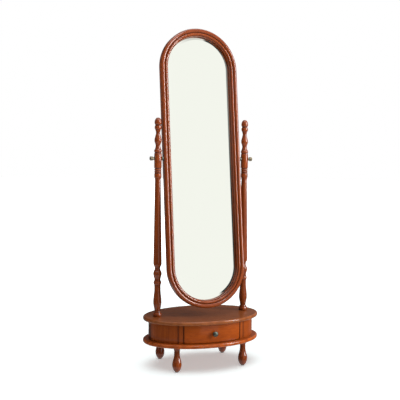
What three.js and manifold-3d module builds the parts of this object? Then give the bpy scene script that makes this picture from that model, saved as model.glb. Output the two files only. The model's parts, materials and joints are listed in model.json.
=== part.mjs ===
// Cheval floor mirror: a stadium-shaped mirror that tilts between two turned posts, on an oval
// base with one drawer and four turned feet.
// Millimetres, +Z up, the front faces -Y. The origin is on the floor under the centre of the base.
import * as THREE from 'three';
import { mergeVertices } from 'three/addons/utils/BufferGeometryUtils.js';
import Module from 'manifold-3d';

// ---------- driving sizes ----------

// Gaps that are used all over.
const joint = 0.3; // between two faces that are glued, screwed or seated together
const boreGap = 0.3; // round a bolt, stud or screw in its hole
const overcut = 1; // how far a cutting tool runs past the face it starts from

// Mirror frame. Its section is two beads on a flat back, measured inwards from the outer edge.
const frameRadius = 194; // outer radius of the two arches, half the mirror's width
const straightLength = 941; // straight part of each side
const outerBeadRadius = 10;
const innerBeadRadius = 5.5;
const beadGroove = 0.5; // quirk between the beads
const outerBeadEnd = 155; // degrees round the outer bead, from the outer edge to the quirk
const innerBeadStart = 14;
const innerBeadEnd = 171;
const lipFlat = 4.5; // flat lip inside the inner bead
const lipEase = 1.5; // slope from the inner bead down to the lip
const outerBeadSet = 6; // bead centre in front of the pivot plane
const innerBeadSet = 8;
const lipSet = 6; // lip face in front of the pivot plane
const frameBackRound = 3;

// Glass and what holds it.
const glassSet = 4; // glass seat behind the pivot plane
const glassThick = 5;
const glassEdgeThick = 2.6;
const bevelWidth = 18; // bevel that shows inside the lip
const glassLap = 8; // glass hidden behind the lip
const packingThick = 4;
const backingThick = 5;
const backingLap = 8; // plywood back on its own step of the frame
const edgeGap = 0.6; // round the edges of the glass, packing and backing
const screwsPerSide = 3;
const screwHeadRadius = 3.6;
const screwShankRadius = 1.6;
const screwLength = 15;
const screwTaper = 2; // point of the screw
const screwHeadHeight = 2.6;
const screwHeadSunk = 0.5; // head below the face of the plywood back

// Pivot: where the mirror hangs between the posts.
const restTilt = 6.9; // degrees, the top leans back
const pivotAboveCentre = 38.8; // pivot above the middle of the mirror
const swingGap = 37; // bottom of the hanging mirror to the top board
const sideGap = 10; // mirror edge to post
const studRadius = 3;
const studEngagement = 11; // stud inside the mirror frame
const insertRadius = 5;
const insertLength = 13;
const spacerRadius = 9;
const washerRadius = 9;
const washerThick = 1.6;
const knobRadius = 10;
const knobNeckRadius = 6;
const knobLength = 20;

// Posts.
const blockRadius = 17.3; // plain cylinder that the pivot passes through
const postBoltRadius = 4;
const postBoltReach = 45; // bolt inside the post
const holeBottom = 2; // room left at the blind end of a bolt or stud hole

// Base boards and case.
const boardPastPost = 63.7; // board end beyond the post's axis
const boardHalfDepth = 193;
const boardThick = 18;
const boardRound = 7.5;
const footHeight = 114; // floor to the lower board
const caseHeight = 88; // between the boards
const caseInset = 26; // case face back from the board edge
const panelThick = 12;
const stileWidth = 21;
const stileThick = 22;
const partitionThick = 12;

// Feet.
const footSetInWidth = 119; // foot axis in from the board's end
const footSetInDepth = 72.3; // foot axis in from the board's front
const glideRadius = 9;
const glideThick = 2.5;
const footStudRadius = 4;
const footStudInFoot = 34;
const footStudInBoard = 13;
const footStudPoint = 2;
const footStudChamfer = 1;

// Drawer.
const drawerHalfWidth = 139.5;
const drawerGap = 2.6; // shadow gap round the drawer front
const drawerFrontThick = 18;
const drawerSideInset = 0.5; // drawer side in from the end of the front
const drawerSideThick = 10;
const drawerBackThick = 10;
const drawerBottomThick = 4;
const drawerBottomRise = 3.4; // bottom panel above the lower edge of the sides
const drawerDepth = 235; // back of the drawer behind the middle of its front face
const drawerSideDrop = 20; // top of the sides below the top board
const drawerBackRise = 6; // drawer back above the sides, to catch the stop
const drawerTravel = 150;
const runnerThick = 4;
const kickerGap = 1.5; // side to kicker
const stopHalfWidth = 35;
const stopThick = 18;
const stopCatch = 3; // how far the stop hangs below the top of the drawer back
const stopGap = 0.5; // left between stop and drawer back at full travel
const pullRadius = 12.8;
const pullStemRadius = 5.5;
const pullLength = 23;
const pullScrewRadius = 2;
const pullScrewReach = 12;

// ---------- sizes that follow ----------

const frameWidth = 2 * outerBeadRadius + beadGroove + 2 * innerBeadRadius + lipFlat;
const backingSeat = glassSet + glassThick + packingThick + 3 * joint;
const frameBack = backingSeat + joint + backingThick;
const rebateInset = frameWidth - glassLap;
const backingInset = rebateInset - backingLap;
const sightRadius = frameRadius - frameWidth;
const halfStraight = straightLength / 2;

const postX = frameRadius + sideGap + blockRadius;
const boardHalfWidth = postX + boardPastPost;
const lowerBoardZ = footHeight;
const caseZ = lowerBoardZ + boardThick;
const topBoardZ = caseZ + caseHeight;
const postZ = topBoardZ + boardThick + joint;
const pivotZ = topBoardZ + boardThick + swingGap + halfStraight + frameRadius + pivotAboveCentre;

const caseHalfWidth = boardHalfWidth - caseInset;
const caseHalfDepth = boardHalfDepth - caseInset;
const stileX = drawerHalfWidth + drawerGap;
const panelX = stileX + stileWidth + joint;
const footX = boardHalfWidth - footSetInWidth;
const footY = boardHalfDepth - footSetInDepth;

const runnerTop = caseZ + joint + runnerThick;
const sideBottom = runnerTop + joint;
const sideTop = topBoardZ - drawerSideDrop;
const sideOuter = drawerHalfWidth - drawerSideInset;
const sideInner = sideOuter - drawerSideThick;
const drawerBackY = drawerDepth - caseHalfDepth; // rear face of the drawer back
const pullZ = caseZ + caseHeight / 2;
const sides = [['left', -1], ['right', 1]];

// Facets round each kind of circle.
const ovalFacets = 60;
const turnedFacets = 16;
const archFacets = 48;
const smallFacets = 14;
const boltFacets = 10;
const beadFacets = 5; // along half a bead of the frame
const wallFacet = 15; // length of a facet along a bent wall

// ---------- materials ----------

const paint = (color, roughness, metalness) =>
  new THREE.MeshStandardMaterial({ color, roughness, metalness, flatShading: true });
const cherry = paint(0x7d3a1d, 0.3, 0);
const cherryTop = paint(0x6f4028, 0.25, 0);
const drawerCherry = paint(0x8f4a20, 0.32, 0);
const bareWood = paint(0xb98d5c, 0.7, 0);
const plywood = paint(0xa8845a, 0.8, 0);
const silvered = paint(0xf1f4ea, 0.03, 1);
const feltBoard = paint(0x8c8b84, 0.95, 0);
const bronze = paint(0x4a463c, 0.4, 0.9);
const steel = paint(0xa3a5a8, 0.35, 1);
const brass = paint(0xb08d4c, 0.35, 1);
const nylon = paint(0x3b2f28, 0.6, 0);

// ---------- solids ----------

const wasm = await Module();
wasm.setup();

// A closed geometry as a solid, and a solid as a geometry again.
function toSolid(geometry) {
  const bare = geometry.clone();
  bare.deleteAttribute('normal');
  bare.deleteAttribute('uv');
  const merged = mergeVertices(bare, 1e-3);
  return new wasm.Manifold(new wasm.Mesh({
    numProp: 3,
    vertProperties: merged.attributes.position.array,
    triVerts: new Uint32Array(merged.index.array),
  }));
}

function toGeometry(solid) {
  const mesh = solid.getMesh();
  const geometry = new THREE.BufferGeometry();
  geometry.setAttribute('position', new THREE.BufferAttribute(mesh.vertProperties, 3));
  geometry.setIndex(new THREE.BufferAttribute(mesh.triVerts, 1));
  geometry.computeVertexNormals();
  return geometry;
}

function cut(geometry, ...tools) {
  return toGeometry(tools.reduce((solid, tool) => solid.subtract(toSolid(tool)), toSolid(geometry)));
}

function join(geometry, ...others) {
  return toGeometry(others.reduce((solid, other) => solid.add(toSolid(other)), toSolid(geometry)));
}

const point = (x, y) => new THREE.Vector2(x, y);

// Turned piece about Z. The profile runs from the bottom to the top and meets the axis at both ends.
function turned(points, facets = turnedFacets) {
  return new THREE.LatheGeometry(points, facets).rotateX(Math.PI / 2);
}

// Round bar or bore about Z, from one height to another.
function bar(radius, from, to, facets = boltFacets) {
  const length = to - from;
  const geometry = new THREE.CylinderGeometry(radius, radius, length, facets);
  return geometry.rotateX(Math.PI / 2).translate(0, 0, from + length / 2);
}

// The same pointing along +X or along -Y, starting at the given place.
const alongX = (geometry) => geometry.rotateY(Math.PI / 2);
const alongFront = (geometry) => geometry.rotateX(Math.PI / 2);

// Washer or sleeve about Z.
function ring(outer, inner, from, to, facets = smallFacets) {
  const outline = [point(inner, from), point(outer, from), point(outer, to), point(inner, to)];
  return turned([...outline, outline[0]], facets);
}

function slab(points, from, to) {
  const shape = new THREE.Shape(points);
  const geometry = new THREE.ExtrudeGeometry(shape, { depth: to - from, bevelEnabled: false });
  return geometry.translate(0, 0, from);
}

function block(x0, x1, y0, y1, z0, z1) {
  const geometry = new THREE.BoxGeometry(x1 - x0, y1 - y0, z1 - z0);
  return geometry.translate((x0 + x1) / 2, (y0 + y1) / 2, (z0 + z1) / 2);
}

function node(name, geometry, material, parent) {
  const mesh = new THREE.Mesh(geometry, material);
  mesh.name = name;
  parent.add(mesh);
  return mesh;
}

// ---------- oval plan ----------

// Half the depth of an oval at x, and the points along it between two angles.
const ovalDepth = (a, b, x) => b * Math.sqrt(1 - (x / a) ** 2);

function ovalArc(a, b, from, to, steps) {
  const angles = Array.from({ length: steps + 1 }, (_, i) => from + ((to - from) * i) / steps);
  return angles.map((t) => point(a * Math.cos(t), b * Math.sin(t)));
}

// Bent wall along the case's face: from angle to angle of the outer face, given by where the ends
// lie across the case, and a thickness inwards. front is -1 for the front half and 1 for the back.
function bentWall(x0, x1, thick, front, z0, z1) {
  const steps = Math.ceil((x1 - x0) / wallFacet);
  const turn = (a, x) => front * Math.acos(x / a);
  const face = (inset, from, to) => {
    const a = caseHalfWidth - inset;
    return ovalArc(a, caseHalfDepth - inset, turn(a, from), turn(a, to), steps);
  };
  return slab([...face(0, x0, x1), ...face(thick, x1, x0)], z0, z1);
}

// Curved end of the case: it starts and ends in line with the stile, round the end of the oval.
function bentEnd(side, z0, z1) {
  const a = caseHalfWidth;
  const b = caseHalfDepth;
  const steps = Math.ceil((2 * ovalDepth(a, b, panelX) + a - panelX) / wallFacet);
  const turnOuter = Math.acos(panelX / a);
  const turnInner = Math.acos(panelX / (a - panelThick));
  const outer = ovalArc(a, b, -turnOuter, turnOuter, steps);
  const inner = ovalArc(a - panelThick, b - panelThick, turnInner, -turnInner, steps);
  const points = [...outer, ...inner].map((p) => point(side * p.x, p.y));
  return slab(points, z0, z1);
}

// Oval board with rounded edges, lower face at z = 0. A level is an inset from the edge and a height.
function ovalBoard() {
  const steps = 2;
  const levels = [];
  for (let i = 0; i <= steps; i++) {
    const t = ((i / steps) * Math.PI) / 2;
    levels.push([boardRound * (1 - Math.sin(t)), boardRound * (1 - Math.cos(t))]);
  }
  for (let i = steps; i >= 0; i--) levels.push([levels[i][0], boardThick - levels[i][1]]);
  const edge = levels.map(([, z]) => point(1, z));
  const unit = turned([point(0, 0), ...edge, point(0, boardThick)], ovalFacets);
  const place = unit.attributes.position;
  for (let i = 0; i < place.count; i++) {
    const z = place.getZ(i);
    const level = levels.find(([, height]) => Math.abs(height - z) < 1e-3);
    place.setX(i, place.getX(i) * (boardHalfWidth - level[0]));
    place.setY(i, place.getY(i) * (boardHalfDepth - level[0]));
  }
  return unit;
}

// ---------- turned posts and feet ----------

// Lower turnings are measured up from the top board, upper ones from the pivot, so the plain
// tapered shaft between them takes up any change of height.
function postGeometry() {
  const low = (radius, height) => point(radius, postZ + height);
  const high = (radius, height) => point(radius, pivotZ + height);
  const path = new THREE.Path();
  const line = (...points) => points.forEach((p) => path.lineTo(p.x, p.y));
  const curve = (...points) => path.splineThru(points);

  // Foot ring, vase, long neck, two rings, small vase and cup.
  path.moveTo(0, postZ);
  line(low(18.5, 0));
  curve(low(20.5, 6), low(20.3, 13), low(17.5, 19));
  line(low(15.5, 20));
  curve(low(13.6, 29), low(17.5, 52), low(19.3, 67), low(18.6, 84));
  curve(low(16.2, 108), low(14.6, 131), low(15.4, 150));
  curve(low(18.3, 163), low(17.4, 168));
  curve(low(14.2, 179), low(18.4, 193), low(20, 203), low(18.4, 213));
  curve(low(12.9, 226), low(18.3, 242), low(19.8, 252));

  // Tapered shaft, collar with three grooves, and the plain block that the pivot passes through.
  line(low(19.4, 275), high(13.8, -98));
  curve(high(14.2, -92), high(16, -86));
  for (const groove of [-67, -57, -47]) {
    line(high(16.4, groove - 3.5), high(14.6, groove), high(16.4, groove + 3.5));
  }
  line(high(blockRadius, -40), high(blockRadius, 22));

  // Ring, vase, neck, disc and the onion of the finial.
  curve(high(15.4, 26), high(15.4, 29));
  curve(high(17.5, 33), high(17.3, 38), high(14.5, 44));
  curve(high(10.8, 58), high(12.6, 68), high(16.2, 80), high(16.2, 89));
  curve(high(11.4, 108), high(9.4, 119), high(14, 139));
  curve(high(15.5, 146), high(14.8, 153));
  line(high(13.6, 156));
  curve(high(15.8, 162), high(15.9, 170), high(13.6, 179), high(8.2, 186.5), high(0, 189));

  const boltEnd = postZ + postBoltReach + holeBottom;
  const bolt = bar(postBoltRadius + boreGap, postZ - overcut, boltEnd);
  const stud = alongX(bar(studRadius + boreGap, -2 * blockRadius, 2 * blockRadius));
  return cut(turned(path.getPoints(1)), bolt, stud.translate(0, 0, pivotZ));
}

function footGeometry() {
  const bottom = glideThick + joint;
  const top = footHeight - joint;
  const path = new THREE.Path();
  path.moveTo(0, bottom);
  path.lineTo(9.5, bottom);
  const bulb = [point(14.5, 8), point(18.5, 17), point(21.2, 27), point(21.8, 37), point(20.3, 48)];
  path.splineThru(bulb);
  path.splineThru([point(17.4, 58), point(14.6, 69), point(13.2, 80)]);
  path.lineTo(13, top - 16);
  path.splineThru([point(14, top - 9), point(16.6, top - 3), point(17.6, top)]);
  path.lineTo(0, top);
  const boreEnd = top - footStudInFoot - holeBottom;
  const bore = bar(footStudRadius + boreGap, boreEnd, top + overcut);
  return cut(turned(path.getPoints(1)), bore);
}

// Hex bolt with a washer face. The head hangs below z = 0 and the shank points up.
function boltGeometry(radius, length) {
  const washerThickness = 0.6 * radius;
  const headThickness = 1.4 * radius;
  const overlap = 0.1 * radius;
  const head = new THREE.CylinderGeometry(1.7 * radius, 1.7 * radius, headThickness, 6);
  head.rotateX(Math.PI / 2).translate(0, 0, overlap - washerThickness - headThickness / 2);
  const washer = bar(2.4 * radius, -washerThickness, 0, smallFacets);
  return join(head, washer, bar(radius, -washerThickness - overlap, length));
}

// ---------- mirror frame ----------

// Section of the frame as distance from the mirror's centre line against depth, -Y to the front.
function frameSection() {
  const inward = (distance) => frameRadius - distance;
  const bead = (centre, radius, set, from, to) => {
    const turns = Array.from({ length: beadFacets + 1 }, (_, i) => from + ((to - from) * i) / beadFacets);
    return turns.map((degrees) => {
      const t = THREE.MathUtils.degToRad(degrees);
      return point(inward(centre - radius * Math.cos(t)), -set - radius * Math.sin(t));
    });
  };
  const outerCentre = outerBeadRadius;
  const innerCentre = 2 * outerBeadRadius + beadGroove + innerBeadRadius;
  return [
    point(inward(backingInset), frameBack),
    point(inward(frameBackRound), frameBack),
    point(inward(0), frameBack - frameBackRound),
    ...bead(outerCentre, outerBeadRadius, outerBeadSet, 0, outerBeadEnd),
    ...bead(innerCentre, innerBeadRadius, innerBeadSet, innerBeadStart, innerBeadEnd),
    point(inward(frameWidth - lipFlat + lipEase), -lipSet),
    point(inward(frameWidth), -lipSet),
    point(inward(frameWidth), glassSet),
    point(inward(rebateInset), glassSet),
    point(inward(rebateInset), backingSeat),
    point(inward(backingInset), backingSeat),
  ];
}

// Holes for the backing screws, seen from behind: three up each side and one at each end.
const screwInset = (rebateInset + backingInset) / 2;
const screwSpots = [];
for (const side of [-1, 1]) {
  for (let i = 0; i < screwsPerSide; i++) {
    const z = -halfStraight + (straightLength * (i + 0.5)) / screwsPerSide;
    screwSpots.push([side * (frameRadius - screwInset), z]);
  }
}
for (const end of [-1, 1]) screwSpots.push([0, end * (halfStraight + frameRadius - screwInset)]);

// Countersunk screw pointing to the front from y = 0, and the hole it sits in.
function screwGeometry(gap) {
  const head = screwHeadRadius + gap;
  const shank = screwShankRadius + gap;
  const tip = -screwLength - gap;
  const points = [
    point(0, tip),
    point(shank, tip + screwTaper),
    point(shank, -screwHeadHeight),
    point(head, 0),
  ];
  const mouth = screwHeadSunk + overcut;
  const end = gap > 0 ? [point(head, mouth), point(0, mouth)] : [point(0, 0)];
  return turned([...points, ...end], boltFacets).rotateX(-Math.PI / 2);
}

const screwHead = frameBack - screwHeadSunk;
const screwAt = (geometry, [x, z]) => geometry.translate(x, screwHead, z);
const screwHoles = () => screwSpots.map((spot) => screwAt(screwGeometry(boreGap), spot));

function straightSide(side) {
  const points = frameSection().map((p) => point(side * p.x, p.y));
  const boreStart = -insertLength - overcut;
  const insertBore = alongX(bar(insertRadius + boreGap, boreStart, overcut, smallFacets));
  if (side < 0) insertBore.rotateZ(Math.PI);
  insertBore.translate(side * frameRadius, 0, pivotAboveCentre);
  const half = halfStraight - joint / 2;
  return cut(slab(points, -half, half), insertBore, ...screwHoles());
}

function arch(end) {
  const section = frameSection();
  const outline = [...section, section[0]].reverse();
  const whole = new THREE.LatheGeometry(outline, archFacets).rotateY(Math.PI / archFacets);
  const reach = 2 * frameRadius;
  const [from, to] = end > 0 ? [joint / 2, reach] : [-reach, -joint / 2];
  const half = toSolid(whole).intersect(toSolid(block(-reach, reach, -reach, reach, from, to)));
  return cut(toGeometry(half).translate(0, 0, end * halfStraight), ...screwHoles());
}

// Stadium outline in plan X-Z, drawn in X-Y and turned up.
function stadium(radius, steps = 24) {
  const arc = (from) => Array.from({ length: steps + 1 }, (_, i) => from + (Math.PI * i) / steps);
  const lift = (angle, shift) => point(radius * Math.cos(angle), radius * Math.sin(angle) + shift);
  const upper = arc(0).map((t) => lift(t, halfStraight));
  return [...upper, ...arc(Math.PI).map((t) => lift(t, -halfStraight))];
}

// Flat sheet of stadium outline between two depths.
function sheet(radius, front, back) {
  return slab(stadium(radius), -back, -front).rotateX(Math.PI / 2);
}

// Glass plate: a thin edge, a bevel up to the flat face, and a flat silvered back.
function glassGeometry() {
  const edge = frameRadius - rebateInset - edgeGap;
  const flat = sightRadius - bevelWidth;
  const front = glassSet + joint;
  const levels = [
    [edge, front + glassThick],
    [edge, front + glassThick - glassEdgeThick],
    [flat, front],
  ];
  const rows = levels.map(([radius, y]) => stadium(radius).map((p) => new THREE.Vector3(p.x, y, p.y)));
  const count = rows[0].length;
  const faces = [];
  for (let level = 0; level < rows.length - 1; level++) {
    for (let i = 0; i < count; i++) {
      const next = (i + 1) % count;
      const [a, b] = [rows[level][i], rows[level][next]];
      const [c, d] = [rows[level + 1][next], rows[level + 1][i]];
      faces.push(a, b, c, a, c, d);
    }
  }
  const [back, face] = [rows[0], rows[rows.length - 1]];
  for (let i = 1; i < count - 1; i++) {
    faces.push(back[0], back[i + 1], back[i]);
    faces.push(face[0], face[i], face[i + 1]);
  }
  return new THREE.BufferGeometry().setFromPoints(faces);
}

// ---------- the whole object ----------

const mirrorStand = new THREE.Group();

// Boards and case.
function boltHole(x) {
  return bar(postBoltRadius + boreGap, -overcut, boardThick + overcut).translate(x, 0, 0);
}
const topBoard = cut(ovalBoard(), boltHole(-postX), boltHole(postX));
node('top_board', topBoard, cherryTop, mirrorStand).position.z = topBoardZ;

const feet = [];
for (const [row, y] of [['front', -footY], ['rear', footY]]) {
  for (const [name, side] of sides) feet.push([`${row}_${name}`, side * footX, y]);
}
function studHole(x, y) {
  return bar(footStudRadius + boreGap, -overcut, footStudInBoard + overcut).translate(x, y, 0);
}
const lowerBoard = cut(ovalBoard(), ...feet.map(([, x, y]) => studHole(x, y)));
node('bottom_board', lowerBoard, cherry, mirrorStand).position.z = lowerBoardZ;

const wallFrom = caseZ + joint;
const wallTo = topBoardZ - joint;
const backHalf = panelX - joint;
const backPanel = bentWall(-backHalf, backHalf, panelThick, 1, wallFrom, wallTo);
node('back_panel', backPanel, cherry, mirrorStand);

const stileInnerA = caseHalfWidth - stileThick;
const stileInnerB = caseHalfDepth - stileThick;
const backInnerA = caseHalfWidth - panelThick;
const backInnerB = caseHalfDepth - panelThick;
const frontInnerA = caseHalfWidth - drawerFrontThick;
const frontInnerB = caseHalfDepth - drawerFrontThick;
const frontInnerY = (x) => -ovalDepth(frontInnerA, frontInnerB, x);
const railFront = frontInnerY(stileX) + joint;
const railBack = drawerBackY;
const drawerBackFront = drawerBackY - drawerBackThick;
const stopBack = drawerBackFront - drawerTravel - stopGap;
const drawerBackTop = sideTop + drawerBackRise;

for (const [name, side] of sides) {
  const stileAt = [side * stileX, side * (stileX + stileWidth)].sort((a, b) => a - b);
  const stile = bentWall(...stileAt, stileThick, -1, wallFrom, wallTo);
  node(`front_stile_${name}`, stile, cherry, mirrorStand);
  node(`end_panel_${name}`, bentEnd(side, wallFrom, wallTo), cherry, mirrorStand);

  const partOuter = stileX + partitionThick;
  const partition = [
    point(side * stileX, -ovalDepth(stileInnerA, stileInnerB, stileX) + joint),
    point(side * partOuter, -ovalDepth(stileInnerA, stileInnerB, partOuter) + joint),
    point(side * partOuter, ovalDepth(backInnerA, backInnerB, partOuter) - joint),
    point(side * stileX, ovalDepth(backInnerA, backInnerB, partOuter) - joint),
  ];
  node(`partition_${name}`, slab(partition, wallFrom, wallTo), bareWood, mirrorStand);

  const railX = [side * (sideInner + joint), side * (stileX - joint)].sort((a, b) => a - b);
  const runner = block(...railX, railFront, railBack, wallFrom, runnerTop);
  node(`drawer_runner_${name}`, runner, bareWood, mirrorStand);
  const kicker = block(...railX, railFront, railBack, sideTop + kickerGap, wallTo);
  node(`drawer_kicker_${name}`, kicker, bareWood, mirrorStand);
}
const stopFront = stopBack - stopThick;
const stopBottom = drawerBackTop - stopCatch;
const stop = block(-stopHalfWidth, stopHalfWidth, stopFront, stopBack, stopBottom, wallTo);
node('drawer_stop', stop, bareWood, mirrorStand);

// Feet with their studs and glides.
const footShape = footGeometry();
const footStudShape = turned([
  point(0, -footStudInFoot),
  point(footStudRadius, -footStudInFoot + footStudPoint),
  point(footStudRadius, footStudInBoard - footStudChamfer),
  point(footStudRadius - footStudChamfer, footStudInBoard),
  point(0, footStudInBoard),
], boltFacets);
const glideShape = turned([
  point(0, 0),
  point(glideRadius, 0),
  point(glideRadius, glideThick),
  point(0, glideThick),
], smallFacets);
for (const [name, x, y] of feet) {
  node(`foot_${name}`, footShape, cherry, mirrorStand).position.set(x, y, 0);
  node(`foot_stud_${name}`, footStudShape, steel, mirrorStand).position.set(x, y, footHeight);
  node(`foot_glide_${name}`, glideShape, nylon, mirrorStand).position.set(x, y, 0);
}

// Posts, bolted up through the top board.
const postShape = postGeometry();
const boltShape = boltGeometry(postBoltRadius, boardThick + 2 * joint + postBoltReach);
const boltZ = topBoardZ - joint;
for (const [name, side] of sides) {
  node(`post_${name}`, postShape, cherry, mirrorStand).position.x = side * postX;
  node(`post_bolt_${name}`, boltShape, steel, mirrorStand).position.set(side * postX, 0, boltZ);
}

// Pivots: a knob with its stud, an outer washer and a spacer, laid out from the mirror's edge.
for (const [name, side] of sides) {
  const pivot = new THREE.Group();
  pivot.position.z = pivotZ;
  if (side < 0) pivot.rotation.z = Math.PI;
  mirrorStand.add(pivot);
  const spacerFrom = frameRadius + joint;
  const spacerTo = frameRadius + sideGap - joint;
  const spacer = alongX(ring(spacerRadius, studRadius + boreGap, spacerFrom, spacerTo));
  node(`pivot_spacer_${name}`, spacer, bronze, pivot);
  const washerFrom = postX + blockRadius + joint;
  const washerTo = washerFrom + washerThick;
  const washer = alongX(ring(washerRadius, studRadius + boreGap, washerFrom, washerTo));
  node(`pivot_washer_${name}`, washer, bronze, pivot);
  const knobFrom = washerTo + joint;
  const studFrom = frameRadius - studEngagement;
  const knob = turned([
    point(0, studFrom),
    point(studRadius - 0.8, studFrom),
    point(studRadius, studFrom + 1),
    point(studRadius, knobFrom),
    point(knobNeckRadius + 1.2, knobFrom),
    point(knobNeckRadius, knobFrom + 3),
    point(knobNeckRadius + 1, knobFrom + 5.5),
    point(knobRadius - 1.5, knobFrom + 7),
    point(knobRadius, knobFrom + 9),
    point(knobRadius, knobFrom + knobLength - 4),
    point(knobRadius - 1.8, knobFrom + knobLength - 1.5),
    point(knobRadius - 5, knobFrom + knobLength - 0.3),
    point(0, knobFrom + knobLength),
  ], smallFacets);
  node(`pivot_knob_${name}`, alongX(knob), bronze, pivot);
}

// Mirror, hung on the pivots and leaning back.
const mirror = new THREE.Group();
mirror.position.z = pivotZ;
mirror.rotation.x = THREE.MathUtils.degToRad(-restTilt);
mirrorStand.add(mirror);
const panel = new THREE.Group();
panel.position.z = -pivotAboveCentre;
mirror.add(panel);

for (const [name, side] of sides) {
  node(`frame_side_${name}`, straightSide(side), cherry, panel);
  const insert = alongX(ring(insertRadius, studRadius + boreGap, -insertLength, 0));
  const placed = node(`pivot_insert_${name}`, insert, brass, panel);
  placed.position.set(side * frameRadius, 0, pivotAboveCentre);
  if (side < 0) placed.rotation.z = Math.PI;
}
node('frame_arch_top', arch(1), cherry, panel);
node('frame_arch_bottom', arch(-1), cherry, panel);
node('mirror_glass', glassGeometry(), silvered, panel);

const packingFrom = glassSet + glassThick + 2 * joint;
const packing = sheet(frameRadius - rebateInset - edgeGap, packingFrom, packingFrom + packingThick);
node('glass_packing', packing, feltBoard, panel);
const backing = sheet(frameRadius - backingInset - edgeGap, backingSeat + joint, frameBack);
node('backing_board', cut(backing, ...screwHoles()), plywood, panel);
screwSpots.forEach((spot, i) => {
  node(`backing_screw_${i + 1}`, screwAt(screwGeometry(0), spot), steel, panel);
});

// Drawer.
const drawer = new THREE.Group();
mirrorStand.add(drawer);
const frontBottom = caseZ + drawerGap;
const frontTop = topBoardZ - drawerGap;
const face = bentWall(-drawerHalfWidth, drawerHalfWidth, drawerFrontThick, -1, frontBottom, frontTop);
const pullBore = alongFront(bar(pullScrewRadius + boreGap, 0, 2 * caseHalfDepth)).translate(0, 0, pullZ);
node('drawer_front', cut(face, pullBore), drawerCherry, drawer);

for (const [name, side] of sides) {
  const outline = [
    point(side * sideInner, frontInnerY(sideInner) + joint),
    point(side * sideOuter, frontInnerY(sideOuter) + joint),
    point(side * sideOuter, drawerBackY),
    point(side * sideInner, drawerBackY),
  ];
  node(`drawer_side_${name}`, slab(outline, sideBottom, sideTop), bareWood, drawer);
}
const within = sideInner - joint;
const drawerBackBoard = block(-within, within, drawerBackFront, drawerBackY, sideBottom, drawerBackTop);
node('drawer_back', drawerBackBoard, bareWood, drawer);

const bottomTurn = (x) => -Math.acos(x / frontInnerA);
const bottomSteps = Math.ceil((2 * within) / wallFacet);
const bottomEnds = [bottomTurn(-within), bottomTurn(within)];
const bottomFront = ovalArc(frontInnerA, frontInnerB, ...bottomEnds, bottomSteps);
const bottomRear = drawerBackFront - joint;
const bottomOutline = [
  ...bottomFront.map((p) => point(p.x, p.y + joint)),
  point(within, bottomRear),
  point(-within, bottomRear),
];
const bottomZ = sideBottom + drawerBottomRise;
node('drawer_bottom', slab(bottomOutline, bottomZ, bottomZ + drawerBottomThick), plywood, drawer);

// Pull, held by a screw from inside the drawer.
const pullY = -caseHalfDepth - joint;
const pull = turned([
  point(0, 0),
  point(pullStemRadius + 2.5, 0),
  point(pullStemRadius + 2, 2),
  point(pullStemRadius, 4),
  point(pullStemRadius, 8),
  point(pullRadius - 3, 10.5),
  point(pullRadius - 0.4, 13),
  point(pullRadius, 15),
  point(pullRadius - 1.4, 18),
  point(pullRadius - 4.5, 21),
  point(pullRadius - 9, pullLength - 0.4),
  point(0, pullLength),
], smallFacets);
const pullHole = bar(pullScrewRadius + boreGap, -overcut, pullScrewReach + overcut);
node('drawer_knob', alongFront(cut(pull, pullHole)), bronze, drawer).position.set(0, pullY, pullZ);
const pullScrew = turned([
  point(0, -3.2),
  point(2.6, -2.8),
  point(4.2, -1.2),
  point(4.2, 0),
  point(pullScrewRadius, 0),
  point(pullScrewRadius, drawerFrontThick + 2 * joint + pullScrewReach),
  point(0, drawerFrontThick + 2 * joint + pullScrewReach),
], boltFacets);
const screwY = -frontInnerB + joint;
node('drawer_knob_screw', alongFront(pullScrew), steel, drawer).position.set(0, screwY, pullZ);

export default mirrorStand;
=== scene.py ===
"""Cheval floor mirror: a round-ended mirror that tilts between two turned posts, on an oval base with
one drawer and four turned feet. Metres, +Z up, the front faces -Y."""

import json
import math

import bmesh
import bpy
from mathutils import Matrix, Vector, geometry


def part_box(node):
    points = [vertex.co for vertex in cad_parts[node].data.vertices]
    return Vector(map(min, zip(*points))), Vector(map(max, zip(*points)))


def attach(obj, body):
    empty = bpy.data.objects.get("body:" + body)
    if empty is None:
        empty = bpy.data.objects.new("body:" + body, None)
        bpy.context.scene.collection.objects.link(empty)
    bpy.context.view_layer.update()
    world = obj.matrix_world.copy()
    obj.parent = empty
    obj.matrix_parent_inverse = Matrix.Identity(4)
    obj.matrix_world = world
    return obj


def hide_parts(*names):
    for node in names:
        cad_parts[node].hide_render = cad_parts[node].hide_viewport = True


bl_info = {
    "name": "Cheval floor mirror",
    "version": (1, 0, 0),
    "blender": (4, 5, 0),
    "location": "3D View > Sidebar > Cheval Mirror",
    "description": "Builds a tilting floor mirror on turned posts, with a drawer in its oval base",
    "category": "Object",
}

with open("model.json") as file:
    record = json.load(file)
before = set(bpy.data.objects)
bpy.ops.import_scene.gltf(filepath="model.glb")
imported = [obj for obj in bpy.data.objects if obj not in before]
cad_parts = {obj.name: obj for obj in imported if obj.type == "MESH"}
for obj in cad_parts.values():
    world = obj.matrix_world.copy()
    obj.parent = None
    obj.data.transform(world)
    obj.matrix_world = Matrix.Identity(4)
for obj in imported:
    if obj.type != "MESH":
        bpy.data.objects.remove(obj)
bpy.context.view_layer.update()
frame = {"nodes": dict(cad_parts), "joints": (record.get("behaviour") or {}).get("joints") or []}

MM = 0.001
SIDES = (("left", -1), ("right", 1))
CORNERS = tuple((row, side) for row in ("front", "rear") for side, _ in SIDES)
TURNED_STEPS = 72  # facets round a turned piece
OVAL_STEPS = 192  # facets round a board or the case
ARCH_STEPS = 120  # facets round each end of the mirror
SMALL_STEPS = 32  # facets round a small turned piece
PULL_STEPS = 48  # facets round the drawer knob
GAP = 0.3 * MM  # clearance between pieces that touch
MERGE = 1e-6  # vertices nearer than this are one
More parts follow.
